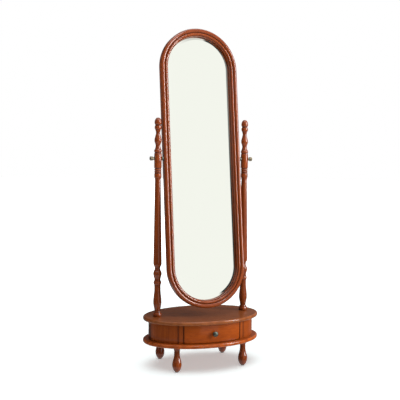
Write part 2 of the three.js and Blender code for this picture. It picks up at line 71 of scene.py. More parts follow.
SLOT_CUTTER = (9 * MM, 0.9 * MM, 2 * MM)  # the bar that cuts a screw's slot


def measured_from(base):
    """A function that places a radius and a height in millimetres above a base in metres."""

    def at(radius, height):
        return Vector((radius * MM, base + height * MM))

    return at


def middle(node):
    """The middle of a CAD node's box."""
    low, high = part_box(node)
    return (low + high) / 2


# ---------- places that come from the frame ----------

PIVOT = Vector(next(j["pos_m"] for j in frame["joints"] if j["name"] == "mirror_tilt"))
LOW_SCREW = middle("backing_screw_1")
HIGH_SCREW = middle("backing_screw_3")
LEAN = math.atan2(HIGH_SCREW.y - LOW_SCREW.y, HIGH_SCREW.z - LOW_SCREW.z)
UPRIGHT = Matrix.Rotation(LEAN, 4, "X") @ Matrix.Translation(-PIVOT)
MIRROR_MIDDLE = (UPRIGHT @ ((LOW_SCREW + HIGH_SCREW) / 2)).z  # below the pivot, so negative
# The screws stand two thirds of the way along each half of the straight sides.
HALF_STRAIGHT = (HIGH_SCREW - LOW_SCREW).length * 3 / 4
FRAME_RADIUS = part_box("frame_side_right")[1].x
CASE_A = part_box("end_panel_right")[1].x
CASE_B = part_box("back_panel")[1].y

# The mirror's pieces are drawn upright about the mirror's centre, then hung on the pivots.
HANG = UPRIGHT.inverted() @ Matrix.Translation((0, 0, MIRROR_MIDDLE))


# ---------- sizes, finishes and studio ----------


def length(name, size, note):
    """A size in metres that a user can change, given here in millimetres."""
    return bpy.props.FloatProperty(
        name=name, description=note, default=size * MM, min=0.0, unit="LENGTH", precision=4
    )


def colour(name, value, note):
    """A colour that a user can change."""
    return bpy.props.FloatVectorProperty(
        name=name, description=note, default=value, size=3, min=0.0, max=1.0, subtype="COLOR"
    )


def share(name, value, note):
    """A share from 0 to 1 that a user can change."""
    return bpy.props.FloatProperty(
        name=name, description=note, default=value, min=0.0, max=1.0, subtype="FACTOR"
    )


class MirrorSizes(bpy.types.PropertyGroup):
    board_round: length("Board edge", 7.5, "Radius of the rounded edge of both oval boards")
    eased: length("Eased edge", 0.8, "Rounding on the edges of flat wooden pieces")
    case_wall: length("Case wall", 12, "Thickness of the curved ends and back of the case")
    stile_wall: length("Stile", 22, "Thickness of the stiles beside the drawer")
    drawer_wall: length("Drawer front", 18, "Thickness of the bowed drawer front")
    outer_bead: length("Outer bead", 10, "Radius of the frame's outer bead")
    inner_bead: length("Inner bead", 5.5, "Radius of the frame's inner bead")
    quirk: length("Quirk", 0.5, "Groove between the two beads")
    lip: length("Lip", 4.5, "Flat lip next to the glass")
    outer_bead_set: length("Outer bead set", 6, "Centre of the outer bead before the pivots")
    inner_bead_set: length("Inner bead set", 8, "Centre of the inner bead before the pivots")
    lip_set: length("Lip set", 6, "Face of the lip before the pivots")
    back_round: length("Back edge", 3, "Rounding of the frame's outer back edge")
    glass_front: length("Glass face", 4.3, "Flat face of the glass behind the pivots")
    glass: length("Glass", 5, "Thickness of the glass")
    glass_edge: length("Glass edge", 2.6, "Thickness left at the edge of the bevel")
    bevel: length("Bevel", 15, "Width of the bevel that shows inside the lip")
    rebate: length("Rebate", 8, "Glass hidden behind the lip")
    backing_step: length("Backing step", 8, "Lap of the plywood back on the frame")
    backing_seat: length("Backing seat", 13.9, "Seat of the plywood back behind the pivots")
    frame_back: length("Frame back", 19.2, "Back of the frame behind the pivots")


class MirrorFinishes(bpy.types.PropertyGroup):
    cherry: colour("Cherry", (0.19, 0.034, 0.003), "Early wood of the posts, frame and case")
    cherry_late: colour("Cherry streaks", (0.06, 0.008, 0.002), "Late wood and dark streaks")
    case: colour("Case", (0.25, 0.05, 0.006), "Early wood of the case and the lower board")
    case_late: colour("Case streaks", (0.13, 0.022, 0.004), "Late wood of the case")
    top: colour("Top", (0.165, 0.047, 0.012), "Early wood of the top board")
    top_late: colour("Top streaks", (0.11, 0.026, 0.007), "Late wood of the top board")
    drawer: colour("Drawer front", (0.26, 0.05, 0.005), "Early wood of the drawer front")
    drawer_late: colour("Drawer streaks", (0.14, 0.022, 0.003), "Late wood of the drawer front")
    # Dark glaze in the pores and joints; in quirks and grooves the same colour is painted shade.
    glaze_and_shade: colour("Glaze", (0.035, 0.007, 0.003), "Dark glaze left in quirks and grooves")
    bare: colour("Bare wood", (0.56, 0.36, 0.18), "Unfinished wood inside the base")
    plywood: colour("Plywood", (0.42, 0.25, 0.12), "Plywood back and drawer bottom")
    silver: colour("Silvering", (0.925, 0.945, 0.865), "Tint of the mirror glass")
    bronze: colour("Bronze", (0.24, 0.21, 0.15), "Clamp knobs and washers")
    dark_bronze: colour("Dark bronze", (0.075, 0.088, 0.072), "Drawer knob")
    lacquer: share("Lacquer", 0.8, "Strength of the clear lacquer over the cherry")


class MirrorStudio(bpy.types.PropertyGroup):
    lens: bpy.props.FloatProperty(
        name="Lens", description="Focal length in millimetres", default=65.9, min=10, max=300
    )
    camera_place: bpy.props.FloatVectorProperty(
        name="Camera",
        description="Place of the camera",
        default=(-1.3075, -3.2288, 0.9842),
        subtype="TRANSLATION",
        unit="LENGTH",
    )
    camera_turn: bpy.props.FloatVectorProperty(
        name="Camera turn",
        description="Heading to the right, pitch down and roll of the camera",
        default=[math.radians(angle) for angle in (21.9, 3.32, 0.436)],
        subtype="EULER",
        unit="ROTATION",
    )
    room: bpy.props.FloatProperty(
        name="Room", description="Brightness of the room round the studio", default=0.035, min=0
    )
    wall: bpy.props.FloatProperty(
        name="White wall", description="Brightness of the wall in front", default=0.97, min=0
    )
    ceiling: bpy.props.FloatProperty(
        name="Ceiling", description="Brightness of the lit ceiling", default=2.35, min=0
    )
    key_power: bpy.props.FloatProperty(
        name="Key light", description="Power of the tall softbox", default=370, unit="POWER"
    )
    top_power: bpy.props.FloatProperty(
        name="Top light", description="Power of the softbox overhead", default=24, unit="POWER"
    )


# ---------- shader maths ----------


class Wire:
    """The output of a shader node. Arithmetic on it adds Math nodes to the same shader."""

    def __init__(self, shader, socket):
        self.shader = shader
        self.socket = socket

    def __add__(self, other):
        return self.shader.maths("ADD", self, other)

    __radd__ = __add__

    def __sub__(self, other):
        return self.shader.maths("SUBTRACT", self, other)

    def __rsub__(self, other):
        return self.shader.maths("SUBTRACT", other, self)

    def __mul__(self, other):
        return self.shader.maths("MULTIPLY", self, other)

    __rmul__ = __mul__

    def __truediv__(self, other):
        return self.shader.maths("DIVIDE", self, other)

    def __pow__(self, other):
        return self.shader.maths("POWER", self, other)

    def fraction(self):
        return self.shader.maths("FRACT", self)

    def held(self):
        """The value held between 0 and 1."""
        return self.shader.node("Clamp", {}, {"Value": self})

    def step(self, low, high):
        """0 below low and 1 above high, with a soft step between them."""
        sockets = {"Value": self, "From Min": low, "From Max": high}
        return self.shader.node("MapRange", {"interpolation_type": "SMOOTHSTEP"}, sockets)


class Shader:
    """The nodes of one material, or of the world."""

    def __init__(self, owner):
        owner.use_nodes = True
        self.tree = owner.node_tree
        self.tree.nodes.clear()

    def node(self, kind, settings, sockets, out=0):
        """Adds a node: its settings first, then the values or wires of its sockets."""
        added = self.tree.nodes.new("ShaderNode" + kind)
        for name, value in settings.items():
            setattr(added, name, value)
        for name, value in sockets.items():
            if isinstance(value, Wire):
                self.tree.links.new(value.socket, added.inputs[name])
            elif added.inputs[name].type == "RGBA":
                added.inputs[name].default_value = (*value, 1.0)
            else:
                added.inputs[name].default_value = value
        return Wire(self, added.outputs[out]) if added.outputs else added

    def maths(self, operation, *values):
        """Adds a Math node."""
        return self.node("Math", {"operation": operation}, dict(enumerate(values)))

    def mix(self, factor, first, second):
        """Mixes two colours."""
        return self.node("Mix", {"data_type": "RGBA"}, {0: factor, 6: first, 7: second}, out=2)

    def noise(self, place, scale, detail, along=1.0):
        """Noise with grains about 1/scale metres across. A small along draws them out along Z."""
        stretch = Vector((1, 1, along)) * scale
        mapped = self.node("Mapping", {}, {"Vector": place, "Scale": stretch})
        return self.node("TexNoise", {}, {"Vector": mapped, "Scale": 1.0, "Detail": detail})

    def surface(self, **sockets):
        """Ends the shader in a Principled surface. Socket names have _ for a space."""
        named = {name.replace("_", " "): value for name, value in sockets.items()}
        shader = self.node("BsdfPrincipled", {}, named)
        self.node("OutputMaterial", {}, {"Surface": shader})

    def bump(self, height):
        """Bumps of a height in metres."""
        return self.node("Bump", {}, {"Height": height, "Distance": 1.0, "Strength": 1.0})

    def place(self):
        return self.node("TexCoord", {}, {}, out="Object")

    def distance(self, place):
        """How far a place lies from the origin."""
        return self.node("VectorMath", {"operation": "LENGTH"}, {0: place}, out="Value")

    def hollow(self):
        """How deep the surface lies in a hollow, from -1 on a sharp crown to 1 in a quirk."""
        return self.node("Attribute", {"attribute_name": "hollow"}, {}, out="Fac")

    def grain(self):
        """The place in the plank that a piece is cut from, its Z along the grain."""
        return self.node("Attribute", {"attribute_name": "grain"}, {}, out="Vector")


def shade(tone, strength):
    """A colour made darker, or lighter by a strength above 1."""
    return [min(1.0, channel * strength) for channel in tone]


def finish(build):
    """A finish is made the first time that a piece asks for it, and then shared. Its name ends in
    _finish, because the CAD's own materials already have the plain names."""
    name = build.__name__ + "_finish"

    def shared():
        found = bpy.data.materials.get(name)
        if found is None:
            found = bpy.data.materials.new(name)
            build(Shader(found), bpy.context.scene.mirror_finishes)
        return found

    return shared


# ---------- finishes ----------

RING = 0.0042  # spacing of the growth rings
PITH = (0.085, 0.052, 0.0)  # the middle of the tree, beside the piece


def figure(shader):
    """Growth rings, streaks, fibres and pores of a piece, each from 0 to 1."""
    grain = shader.grain()
    sway = shader.noise(grain, 14, detail=1.0, along=0.12)
    place = shader.node("Mapping", {}, {"Vector": grain, "Location": PITH, "Scale": (1, 1, 0.02)})
    rings = ((shader.distance(place) + sway * 0.02) / RING).fraction() ** 2.2
    streaks = shader.noise(grain, 160, detail=3.0, along=0.03).step(0.35, 0.68)
    fibres = shader.noise(grain, 1100, detail=2.0, along=0.025)
    pores = shader.noise(grain, 2600, detail=1.0, along=0.05).step(0.6, 0.72)
    return rings, streaks, fibres, pores


def lacquered(shader, early, late, finishes, shine=1.0):
    """Stained cherry under clear lacquer, with glaze and painted shade in the hollows, and worn
    crowns with a painted highlight.
    """
    rings, streaks, fibres, pores = figure(shader)
    hollow = shader.hollow()
    place = shader.place()
    cloud = shader.noise(place, 9, detail=2.0)
    smudge = shader.noise(place, 38, detail=4.0)
    dark = rings * 0.26 + streaks * 0.28 + fibres * 0.3 + (cloud - 0.5) * 0.7 - 0.05
    wood = shader.mix(dark.held(), early, late)
    wood = shader.mix(pores * 0.45, wood, finishes.glaze_and_shade)
    # Painted shade: grooves and quirks are darkened towards the glaze colour; in the joints this
    # darkening stands for dark glaze.
    wood = shader.mix((hollow * 1.2).held() * 0.8, wood, finishes.glaze_and_shade)
    # Crowns are lighter in patches: wear, and a painted highlight as well.
    crown = (hollow * -1.6 - 0.25).held() * smudge.step(0.4, 0.62)
    wood = shader.mix(crown * 0.35, wood, shade(early, 1.7))
    rough = 0.32 + (smudge - 0.5) * 0.16 + (hollow * 0.5).held() * 0.25
    height = fibres * 0.25 - pores * 0.5 - rings * 0.2
    ripple = shader.noise(place, 75, detail=1.0)
    shader.surface(
        Base_Color=wood,
        Roughness=rough.held(),
        Specular_IOR_Level=0.05,
        Coat_Weight=finishes.lacquer * shine * (1 - (hollow * 0.6).held()),
        Coat_Roughness=0.1,
        Coat_IOR=1.5,
        Normal=shader.bump(height * 0.00006 + ripple * 0.00012),
    )


@finish
def cherry(shader, finishes):
    lacquered(shader, finishes.cherry, finishes.cherry_late, finishes)


@finish
def case_cherry(shader, finishes):
    lacquered(shader, finishes.case, finishes.case_late, finishes, shine=0.5)


@finish
def cherry_top(shader, finishes):
    lacquered(shader, finishes.top, finishes.top_late, finishes, shine=0.55)


@finish
def drawer_cherry(shader, finishes):
    lacquered(shader, finishes.drawer, finishes.drawer_late, finishes, shine=0.35)


def unfinished(shader, tone, roughness):
    """Planed wood without a finish, a little stained by age."""
    rings, streaks, fibres, pores = figure(shader)
    dark = (rings * 0.3 + streaks * 0.3 + fibres * 0.35).held()
    wood = shader.mix(dark, tone, shade(tone, 0.55))
    wood = shader.mix(pores * 0.3, wood, shade(tone, 0.3))
    stain = shader.noise(shader.place(), 7, detail=4.0).step(0.45, 0.75)
    wood = shader.mix(stain * 0.3, wood, shade(tone, 0.5))
    shader.surface(
        Base_Color=wood,
        Roughness=roughness - fibres * 0.1,
        Specular_IOR_Level=0.3,
        Normal=shader.bump((fibres - pores) * 0.0001),
    )


@finish
def bare_wood(shader, finishes):
    unfinished(shader, finishes.bare, 0.75)


@finish
def plywood(shader, finishes):
    unfinished(shader, finishes.plywood, 0.85)


@finish
def silvered_glass(shader, finishes):
    """Mirror glass: a clean reflection with a trace of dust."""
    dust = shader.noise(shader.place(), 260, detail=3.0).step(0.62, 0.8)
    tint = shader.mix(dust * 0.04, finishes.silver, (0.7, 0.72, 0.68))
    shader.surface(Base_Color=tint, Metallic=1.0, Roughness=0.012 + dust * 0.03)


def aged_metal(shader, tone, rubbed, roughness, cover):
    """Metal under a patina that is rubbed bright on its crowns."""
    place = shader.place()
    spots = shader.noise(place, 420, detail=4.0)
    film = shader.noise(place, 90, detail=2.0)
    crown = (shader.hollow() * -1.2).held()
    bright = (crown * 0.6 + film.step(0.5, 0.8) * 0.3).held()
    skin = shader.mix(bright, tone, rubbed)
    skin = shader.mix(spots.step(0.55, 0.75) * 0.4, skin, shade(tone, 0.4))
    rough = roughness + (spots - 0.5) * 0.3 - bright * 0.1
    normal = shader.bump(spots * 0.00008)
    metal = 1 - spots.step(0.5, 0.8) * cover
    shader.surface(Base_Color=skin, Metallic=metal, Roughness=rough.held(), Normal=normal)


@finish
def bronze(shader, finishes):
    aged_metal(shader, finishes.bronze, (0.42, 0.34, 0.22), 0.38, 0.5)


@finish
def dark_bronze(shader, finishes):
    aged_metal(shader, finishes.dark_bronze, (0.19, 0.21, 0.18), 0.42, 0.7)


@finish
def steel(shader, finishes):
    aged_metal(shader, (0.42, 0.42, 0.40), (0.62, 0.62, 0.6), 0.32, 0.15)


@finish
def brass(shader, finishes):
    aged_metal(shader, (0.62, 0.42, 0.16), (0.8, 0.6, 0.28), 0.3, 0.15)


@finish
def packing_board(shader, finishes):
    fluff = shader.noise(shader.place(), 900, detail=4.0)
    tone = shader.mix(fluff, (0.20, 0.195, 0.18), (0.34, 0.33, 0.30))
    normal = shader.bump(fluff * 0.0002)
    shader.surface(Base_Color=tone, Roughness=0.95, Normal=normal, Specular_IOR_Level=0.1)


@finish
def nylon(shader, finishes):
    scuffs = shader.noise(shader.place(), 500, detail=3.0)
    tone = shader.mix(scuffs, (0.05, 0.035, 0.025), (0.11, 0.08, 0.06))
    shader.surface(Base_Color=tone, Roughness=0.45 + scuffs * 0.3)


# ---------- modelling ----------


class Outline:
    """The side view of a turned piece, or the section of a moulding, as a line of points."""

    def __init__(self, *points):
        self.points = [Vector(point) for point in points]

    def line(self, *points):
        self.points += [Vector(point) for point in points]

    def curve(self, *points, steps=6):
        """Goes on smoothly through the points."""
        knots = [self.points[-1], *[Vector(point) for point in points]]
        slopes = [(b - a) / 6 for a, b in zip(knots, knots[2:])]
        slopes = [(knots[1] - knots[0]) / 6, *slopes, (knots[-1] - knots[-2]) / 6]
        for i in range(len(knots) - 1):
            start, end = knots[i], knots[i + 1]
            handles = (start + slopes[i], end - slopes[i + 1])
            bent = geometry.interpolate_bezier(start, *handles, end, steps + 1)
            self.points += [Vector(point[:2]) for point in bent[1:]]

    def arc(self, centre, radius, start, end, steps):
        """Goes round part of a circle, from one angle to another in degrees."""
        for i in range(steps + 1):
            angle = math.radians(start + (end - start) * i / steps)
            spoke = Vector((-math.cos(angle), -math.sin(angle))) * radius
            self.points.append(Vector(centre) + spoke)

    def hollows(self, reach):
        """How deep each point lies in a hollow, from -1 on a sharp crown to 1 in a quirk. It is
        the offset of the point from the middle of the line within reach of it."""
        nearby = 24  # points looked at on either side
        full = 0.2 * reach  # the offset that counts as 1
        found = []
        count = len(self.points)
        spans = [(b - a).length for a, b in zip(self.points, self.points[1:])]
        weights = [a + b for a, b in zip([0, *spans], [*spans, 0])]
        for i, here in enumerate(self.points):
            total = Vector((0, 0))
            weight = 0
            for point, span in list(zip(self.points, weights))[max(0, i - nearby) : i + nearby + 1]:
                if (point - here).length < reach:
                    total += point * min(span, reach)
                    weight += min(span, reach)
            mean = total / weight
            along = self.points[min(i + 1, count - 1)] - self.points[max(i - 1, 0)]
            outward = Vector((along.y, -along.x)).normalized()
            found.append(max(-1.0, min(1.0, (mean - here).dot(outward) / full)))
        return found


def outline_verts(bm, outline, across, reach):
    """Puts an outline into a bmesh as a line of vertices that remember how hollow they lie. across
    gives the place of a point of the outline."""
    layer = bm.verts.layers.float.new("hollow")
    verts = []
    for point, hollow in zip(outline.points, outline.hollows(reach)):
        vert = bm.verts.new(across(point))
        vert[layer] = hollow
        verts.append(vert)
    return verts


def turned(outline, centre=(0, 0, 0), steps=TURNED_STEPS, closed=False, reach=6 * MM):
    """A piece turned about an upright axis through centre. An outline that is closed makes a
    ring. Hollows are judged over the distance reach."""
    bm = bmesh.new()
    verts = outline_verts(bm, outline, lambda p: Vector((p.x, 0, p.y)), reach)
    loop = verts + verts[:1] if closed else verts
    edges = [bm.edges.new(pair) for pair in zip(loop, loop[1:])]
    bmesh.ops.spin(
        bm,
        geom=verts + edges,
        cent=(0, 0, 0),
        axis=(0, 0, 1),
        angle=math.tau,
        steps=steps,
        use_merge=True,
    )
    bmesh.ops.remove_doubles(bm, verts=bm.verts, dist=MERGE)
    bmesh.ops.recalc_face_normals(bm, faces=bm.faces)
    bmesh.ops.translate(bm, verts=bm.verts, vec=centre)
    return bm


def moved(bm, matrix):
    """Moves a bmesh as a whole."""
    bmesh.ops.transform(bm, matrix=matrix, verts=bm.verts)
    return bm


def lie_along(direction):
    """The turn that lays a piece drawn upright along a level direction."""
    return Vector(direction).to_track_quat("Z", "Y").to_matrix().to_4x4()


def thickened(bm, move):
    """Draws the flat faces of a bmesh out into a solid."""
    drawn = bmesh.ops.extrude_face_region(bm, geom=bm.faces[:])["geom"]
    verts = [part for part in drawn if isinstance(part, bmesh.types.BMVert)]
    bmesh.ops.translate(bm, verts=verts, vec=move)
    bmesh.ops.recalc_face_normals(bm, faces=bm.faces)
    return bm


def glaze_joints(bm, low, high, reach=2.5 * MM):
    """Marks the ends of a bent piece as hollow, where glaze gathers in the joint."""
    layer = bm.verts.layers.float.new("hollow")
    for vert in bm.verts:
        gap = min(vert.co.x - low, high - vert.co.x)
        vert[layer] = max(0.0, 1 - gap / reach)
    return bm


def ease(bm, offset, segments, edges=None):
    """Rounds the sharp edges of a bmesh, or the edges that are given."""
    sharp = 0.6  # radians between the faces
    if edges is None:
        edges = [e for e in bm.edges if e.is_manifold and e.calc_face_angle() > sharp]
    bmesh.ops.bevel(
        bm,
        geom=edges,
        offset=offset,
        segments=segments,
        profile=0.5,
        affect="EDGES",
        material=-1,
        clamp_overlap=True,
    )
    return bm


def flat_faces(bm):
    """The two large flat faces of a sheet."""
    return sorted(bm.faces, key=lambda face: face.calc_area())[-2:]


def rim_edges(bm):
    """The edges round the large flat faces of a sheet."""
    return [edge for face in flat_faces(bm) for edge in face.edges]


def flat_margin(bm, width=1.5 * MM):
    """Gives each large flat face a margin of its own, so that it shades flat."""
    bmesh.ops.inset_individual(
        bm, faces=flat_faces(bm), thickness=width, use_even_offset=True
    )
    return bm


def oval_disc(node):
    """A flat oval the size of a CAD board, at the height of its underside."""
    bm = bmesh.new()
    bmesh.ops.create_circle(bm, cap_ends=True, radius=1, segments=OVAL_STEPS)
    low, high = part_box(node)
    size = (high - low) / 2
    bmesh.ops.scale(bm, verts=bm.verts, vec=(size.x, size.y, 1))
    bmesh.ops.translate(bm, verts=bm.verts, vec=(0, 0, low.z))
    return bm


def mark_rim_highlight_and_shade(bm, low, high):
    """Marks a board's rounded rim as a crown, worn and with a painted highlight, and the line where
    it meets the flat faces as a hollow that takes a painted shade line. The flat faces keep their own
    margins clear."""
    layer = bm.verts.layers.float.new("hollow")
    for vert in bm.verts:
        flat = min(vert.co.z - low, high - vert.co.z) < 10 * MERGE
        # A painted highlight on the rim, and a painted shade line along the edge of the flat faces.
        vert[layer] = 0.6 if flat else -0.8
    flat_margin(bm)
    for face in flat_faces(bm):
        for vert in face.verts:
            vert[layer] = 0.0
    return bm


def oval_wall(wall, x_low, x_high, half, z_low, z_high):
    """A wall bent along the case's oval, between two places across the case. half is -1 for the
    front of the oval, 1 for the back and 0 for both."""
    bm = bmesh.new()
    for inset in (0, wall):
        ring = bmesh.ops.create_circle(bm, cap_ends=False, radius=1, segments=OVAL_STEPS)["verts"]
        bmesh.ops.scale(bm, verts=ring, vec=(CASE_A - inset, CASE_B - inset, 1))
    bmesh.ops.bridge_loops(bm, edges=bm.edges)
    cuts = [((x_low, 0, 0), (-1, 0, 0)), ((x_high, 0, 0), (1, 0, 0))]
    if half:
        cuts.append(((0, 0, 0), (0, -half, 0)))
    for place, outward in cuts:
        parts = bm.verts[:] + bm.edges[:] + bm.faces[:]
        bmesh.ops.bisect_plane(bm, geom=parts, plane_co=place, plane_no=outward, clear_outer=True)
    bmesh.ops.translate(bm, verts=bm.verts, vec=(0, 0, z_low))
    return thickened(bm, (0, 0, z_high - z_low))


def stadium(radius, y):
    """A flat stadium facing the front, about the mirror's centre."""
    bm = bmesh.new()
    bmesh.ops.create_circle(bm, cap_ends=True, radius=radius, segments=2 * ARCH_STEPS)
    half_step = Matrix.Rotation(math.pi / (2 * ARCH_STEPS), 4, "Z")
    moved(bm, Matrix.Translation((0, y, 0)) @ Matrix.Rotation(math.pi / 2, 4, "X") @ half_step)
    for vert in bm.verts:
        vert.co.z += math.copysign(HALF_STRAIGHT, vert.co.z)
    return bm


def eased_copy(node, offset):
    """A CAD board with its edges eased."""
    bm = bmesh.new()
    bm.from_mesh(frame["nodes"][node].data)
    bmesh.ops.remove_doubles(bm, verts=bm.verts, dist=MERGE)
    bmesh.ops.dissolve_limit(bm, angle_limit=0.02, verts=bm.verts, edges=bm.edges)
    return ease(bm, offset, 2)


def lay_grain(piece, along, seed, about=None):
    """Stores where each point lies in the plank that a piece is cut from: two places across the
    grain and one along it. A number for along bends the grain round an arch of that radius, about
    the given centre, in the plane of the mirror. Each seed is a plank of its own."""
    layer = piece.data.attributes.new("grain", "FLOAT_VECTOR", "POINT")
    shift = Vector((0.37, 0.23, 0.61)) * seed
    order = {"X": (1, 2, 0), "Y": (0, 2, 1), "Z": (0, 1, 2)}.get(along)
    for vert, item in zip(piece.data.vertices, layer.data):
        if order:
            place = Vector([vert.co[axis] for axis in order])
        else:
            flat = UPRIGHT @ vert.co - about
            reach = Vector((flat.x, flat.z))
            turn = math.atan2(flat.x, abs(flat.z)) * along
            place = Vector((reach.length, flat.y, turn))
        item.vector = place + shift


def made(bm, name, material, body, node, grain=None, sharp=32):
    """Turns a bmesh into a finished piece that rides on a body and stands for a CAD node. Its
    edges of more than sharp degrees stay sharp."""
    mesh = bpy.data.meshes.new(name)
    bm.to_mesh(mesh)
    bm.free()
    mesh.shade_smooth()
    mesh.set_sharp_from_angle(angle=math.radians(sharp))
    mesh.materials.append(material)
    piece = bpy.data.objects.new(name, mesh)
    bpy.context.scene.collection.objects.link(piece)
    if grain:
        lay_grain(piece, *grain)
    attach(piece, body)
    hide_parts(node)
    return piece


def cut_away(piece, bm):
    """Cuts the shape of a bmesh out of a piece, and leaves the piece's mesh final."""
    mesh = bpy.data.meshes.new("tool")
    bm.to_mesh(mesh)
    bm.free()
    tool = bpy.data.objects.new("tool", mesh)
    bpy.context.scene.collection.objects.link(tool)
    cut = piece.modifiers.new("cut", "BOOLEAN")
    cut.object = tool
    cut.operation = "DIFFERENCE"
    cut.solver = "EXACT"
    graph = bpy.context.evaluated_depsgraph_get()
    result = bpy.data.meshes.new_from_object(piece.evaluated_get(graph))
    piece.modifiers.clear()
    piece.data = result
    bpy.data.objects.remove(tool)
    return piece


def carried_over(node, material):
    """Finishes a CAD node that stays as it is."""
    piece = frame["nodes"][node]
    piece.data.materials.clear()
    piece.data.materials.append(material)


# ---------- base ----------


class MIRROR_OT_boards(bpy.types.Operator):
    """Makes the two oval boards with their rounded edges"""

    bl_idname = "mirror.boards"
    bl_label = "Oval boards"
    bl_options = {"REGISTER", "UNDO"}

    def execute(self, context):
        sizes = context.scene.mirror_sizes
        boards = (("top_board", cherry_top, "cherry_top"), ("bottom_board", case_cherry, "cherry"))
        for seed, (name, material, slot) in enumerate(boards):
            low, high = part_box(name)
            bm = oval_disc(name)
            thickened(bm, (0, 0, high.z - low.z))
            ease(bm, sizes.board_round, 8, edges=rim_edges(bm))
            mark_rim_highlight_and_shade(bm, low.z, high.z)
            made(bm, name + "_oval", material(), "base", name, ("X", seed + 1))
        return {"FINISHED"}


class MIRROR_OT_case(bpy.types.Operator):
    """Makes the bent walls of the case and its stiles"""

    bl_idname = "mirror.case"
    bl_label = "Case walls"
    bl_options = {"REGISTER", "UNDO"}

    def execute(self, context):
        sizes = context.scene.mirror_sizes
        parts = (("end_panel", sizes.case_wall, 0), ("front_stile", sizes.stile_wall, -1))
        for side, sign in SIDES:
            for part, wall, half in parts:
                node = f"{part}_{side}"
                low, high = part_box(node)
                bm = oval_wall(wall, low.x, high.x, half, low.z, high.z)
                ease(bm, sizes.eased, 2)
                glaze_joints(bm, low.x, high.x)
                seed = 3 + sign + half
                made(bm, node + "_bent", case_cherry(), "base", node, ("Z", seed))
        low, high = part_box("back_panel")
        bm = oval_wall(sizes.case_wall, low.x, high.x, 1, low.z, high.z)
        ease(bm, sizes.eased / 2, 2)
        made(bm, "back_panel_bent", case_cherry(), "base", "back_panel", ("X", 6))
        return {"FINISHED"}


class MIRROR_OT_rails(bpy.types.Operator):
    """Makes the partitions, runners, kickers and stop that carry the drawer"""

    bl_idname = "mirror.rails"
    bl_label = "Drawer rails"
    bl_options = {"REGISTER", "UNDO"}

    def execute(self, context):
        sizes = context.scene.mirror_sizes
        parts = ("partition", "drawer_runner", "drawer_kicker")
        nodes = [f"{part}_{side}" for part in parts for side, _ in SIDES]
        for seed, node in enumerate([*nodes, "drawer_stop"]):
            along = "X" if node == "drawer_stop" else "Y"
            bm = eased_copy(node, sizes.eased)
            made(bm, node + "_board", bare_wood(), "base", node, (along, 8 + seed))
        return {"FINISHED"}


def foot_outline(height):
    """A turned foot: a pear that narrows to a waist and flares a little under the board."""
    low = measured_from(0)
    high = measured_from(height)
    outline = Outline(low(0, 0), low(8.2, 0))
    outline.curve(low(9.3, 0.3), low(10.2, 1.2), low(14.5, 5.2), low(18.5, 14.2), low(21.2, 24.2))
    outline.curve(low(21.8, 34.2), low(20.3, 45.2), low(17.4, 55.2), low(14.6, 66.2), low(13.2, 77.2))
    outline.line(high(13, -16))
    outline.curve(high(14, -9), high(16.4, -3.2))
    outline.line(high(16.9, -2.2), high(17.6, -1.6), high(17.6, 0), high(0, 0))
    return outline


def glide_outline(radius, thick):
    """A glide: a disc with a rounded lower edge."""
    round_edge = 1 * MM
    outline = Outline((0, 0), (radius - round_edge, 0))
    outline.curve((radius, round_edge))
    outline.line((radius, thick), (0, thick))
    return outline


class MIRROR_OT_feet(bpy.types.Operator):
    """Makes the four turned feet and the glides under them"""

    bl_idname = "mirror.feet"
    bl_label = "Feet"
    bl_options = {"REGISTER", "UNDO"}

    def execute(self, context):
        for seed, (row, side) in enumerate(CORNERS):
            node = f"foot_{row}_{side}"
            low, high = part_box(node)
            centre = middle(node)
            bm = turned(foot_outline(high.z - low.z), (centre.x, centre.y, low.z))
            made(bm, node + "_turned", cherry(), "base", node, ("Z", 15 + seed))
            glide = f"foot_glide_{row}_{side}"
            low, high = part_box(glide)
            outline = glide_outline((high.x - low.x) / 2, high.z - low.z)
            bm = turned(outline, (centre.x, centre.y, low.z), SMALL_STEPS)
            made(bm, glide + "_pad", nylon(), "base", glide)
            carried_over(f"foot_stud_{row}_{side}", steel())
        return {"FINISHED"}


# ---------- posts ----------


